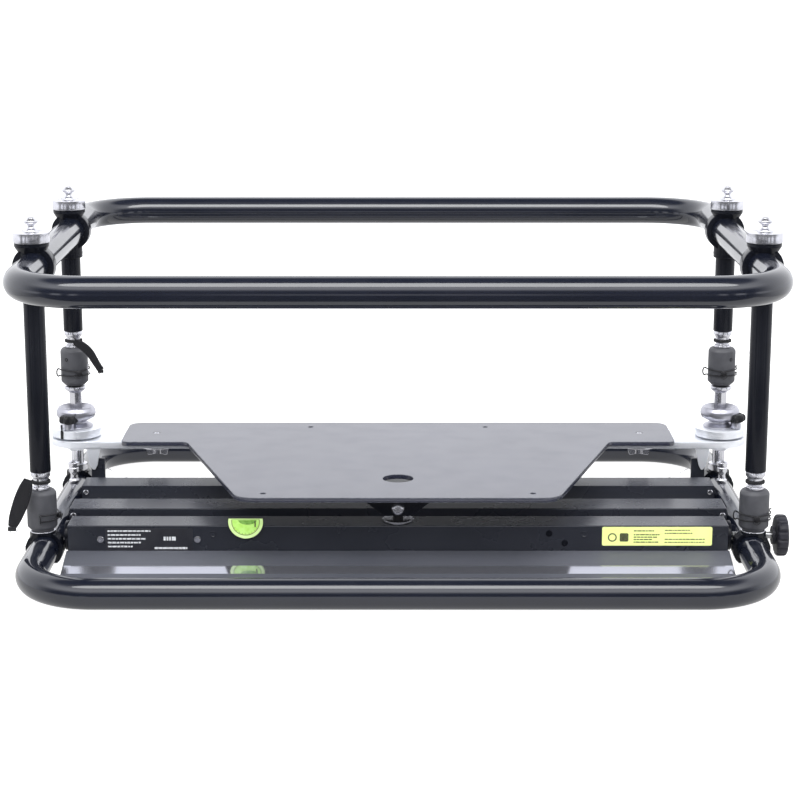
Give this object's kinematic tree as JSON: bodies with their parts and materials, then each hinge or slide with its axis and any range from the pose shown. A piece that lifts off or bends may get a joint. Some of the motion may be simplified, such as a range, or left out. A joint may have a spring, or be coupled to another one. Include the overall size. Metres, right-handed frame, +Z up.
{
  "type": "projector stacking frame",
  "caption": "Stackable projector rigging frame: rounded tube hoops on locking posts, with a three-point levelling platform moved by hand wheels and a shift screw.",
  "frame": {"origin": "on the floor, under the middle of the overall box", "axes": "+Z up, +X across the frame to the shift wheel's side, +Y to the rear, away from the tilt gauge"},
  "size_m": [1.2546, 0.9322, 0.5615],
  "materials": {
    "hoop_black": "gloss black coat on tube",
    "satin_black": "satin black coat",
    "charcoal": "matte charcoal coat on steel",
    "bright_steel": "polished",
    "aluminium": "satin machined",
    "cast_aluminium": "fine cast, lightly polished",
    "black_plastic": "matte black",
    "lime_gauge": "gloss lime",
    "webbing": "woven black"
  },
  "bodies": {
    "frame": {"lower_hoop": "hoop_black", "upper_hoop": "hoop_black", "lower_collar_front_left": "satin_black", "lower_collar_front_right": "satin_black", "lower_collar_rear_left": "satin_black", "lower_collar_rear_right": "satin_black", "upper_collar_front_left": "satin_black", "upper_collar_front_right": "satin_black", "upper_collar_rear_left": "satin_black", "upper_collar_rear_right": "satin_black", "stacking_stud_front_left": "bright_steel", "stacking_stud_front_right": "bright_steel", "stacking_stud_rear_left": "bright_steel", "stacking_stud_rear_right": "bright_steel", "post_front_left": "satin_black", "post_front_right": "satin_black", "post_rear_left": "satin_black", "post_rear_right": "satin_black", "coupler_front_left": "charcoal", "coupler_front_right": "charcoal", "coupler_rear_left": "charcoal", "coupler_rear_right": "charcoal", "front_rail": "satin_black", "middle_rail": "satin_black", "rear_rail": "satin_black", "base_plate": "hoop_black", "rail_flange_left": "satin_black", "rail_flange_right": "satin_black", "tilt_gauge": "lime_gauge", "spigot_front_left": "bright_steel", "spigot_front_right": "bright_steel", "spindle_rear_left": "bright_steel", "spindle_rear_right": "bright_steel", "stop_stud_left": "bright_steel", "stop_stud_right": "bright_steel", "strap_front_left": "webbing", "strap_rear_left": "webbing"},
    "carriage": {"carriage": "black_plastic", "pivot_disc": "bright_steel"},
    "shift_screw": {"lead_screw": "bright_steel", "shift_wheel": "black_plastic"},
    "ball": {"pivot_ball": "bright_steel"},
    "platform": {"platform_plate": "satin_black", "rear_beam": "aluminium", "pivot_bracket": "satin_black", "pivot_bolt": "bright_steel", "guide_fin_left": "aluminium", "guide_fin_right": "aluminium"},
    "hub_left": {"levelling_hub_left": "aluminium"},
    "wheel_left": {"hand_wheel_left": "cast_aluminium"},
    "knob_left": {"clamp_knob_left": "black_plastic"},
    "clamp_left": {"clamp_screw_left": "bright_steel"},
    "hub_right": {"levelling_hub_right": "aluminium"},
    "wheel_right": {"hand_wheel_right": "cast_aluminium"},
    "knob_right": {"clamp_knob_right": "black_plastic"},
    "clamp_right": {"clamp_screw_right": "bright_steel"},
    "clip_front_left": {"lock_clip_front_left": "black_plastic"},
    "clip_front_right": {"lock_clip_front_right": "black_plastic"},
    "clip_rear_left": {"lock_clip_rear_left": "black_plastic"},
    "clip_rear_right": {"lock_clip_rear_right": "black_plastic"}
  },
  "joints": [
    {"name": "screw_turn", "type": "hinge", "parent": "frame", "child": "shift_screw", "pos_m": [0.6, -0.1795, 0.038], "axis": [1, 0, 0], "range_deg": [-725, 725]},
    {"name": "shift", "type": "slide", "parent": "frame", "child": "carriage", "axis": [1, 0, 0], "range_m": [-0.01, 0.01]},
    {"name": "tilt_left", "type": "hinge", "parent": "carriage", "child": "ball", "pos_m": [0, -0.1795, 0.092], "axis": [0.8468, 0.5313, 0.0251], "range_deg": [-1.12, 1.12]},
    {"name": "tilt_right", "type": "hinge", "parent": "ball", "child": "platform", "pos_m": [0, -0.1795, 0.092], "axis": [0.8468, -0.5313, -0.0251], "range_deg": [-1.12, 1.12]},
    {"name": "lift_left", "type": "slide", "parent": "frame", "child": "hub_left", "axis": [0, 0, 1], "range_m": [-0.012, 0.012]},
    {"name": "wheel_left_turn", "type": "hinge", "parent": "hub_left", "child": "wheel_left", "pos_m": [-0.573, 0.18, 0.15], "axis": [0, 0, 1], "range_deg": [-855, 855]},
    {"name": "knob_left_turn", "type": "hinge", "parent": "wheel_left", "child": "knob_left", "pos_m": [-0.582, 0.15, 0.15], "axis": [0, 0, 1], "continuous": true},
    {"name": "clamp_left_turn", "type": "hinge", "parent": "platform", "child": "clamp_left", "pos_m": [-0.429, 0.17, 0.11], "axis": [0, 0, 1], "continuous": true},
    {"name": "lift_right", "type": "slide", "parent": "frame", "child": "hub_right", "axis": [0, 0, 1], "range_m": [-0.012, 0.012]},
    {"name": "wheel_right_turn", "type": "hinge", "parent": "hub_right", "child": "wheel_right", "pos_m": [0.573, 0.18, 0.15], "axis": [0, 0, 1], "range_deg": [-855, 855]},
    {"name": "knob_right_turn", "type": "hinge", "parent": "wheel_right", "child": "knob_right", "pos_m": [0.599, 0.162, 0.15], "axis": [0, 0, 1], "continuous": true},
    {"name": "clamp_right_turn", "type": "hinge", "parent": "platform", "child": "clamp_right", "pos_m": [0.429, 0.17, 0.11], "axis": [0, 0, 1], "continuous": true},
    {"name": "clip_front_left_pull", "type": "slide", "parent": "frame", "child": "clip_front_left", "axis": [1, 0, 0], "range_m": [0, 0.04]},
    {"name": "clip_front_right_pull", "type": "slide", "parent": "frame", "child": "clip_front_right", "axis": [0, -1, 0], "range_m": [0, 0.04]},
    {"name": "clip_rear_left_pull", "type": "slide", "parent": "frame", "child": "clip_rear_left", "axis": [0.4226, -0.9063, 0], "range_m": [0, 0.04]},
    {"name": "clip_rear_right_pull", "type": "slide", "parent": "frame", "child": "clip_rear_right", "axis": [0, -1, 0], "range_m": [0, 0.04]}
  ],
  "couplings": [
    {"joint": "screw_turn", "follows": "shift", "rad_per_m": -1256.6},
    {"joint": "tilt_left", "follows": "wheel_left_turn", "ratio": 0.0013069},
    {"joint": "lift_left", "follows": "wheel_left_turn", "m_per_rad": 0.00079577},
    {"joint": "tilt_right", "follows": "wheel_right_turn", "ratio": 0.0013069},
    {"joint": "lift_right", "follows": "wheel_right_turn", "m_per_rad": 0.00079577}
  ]
}
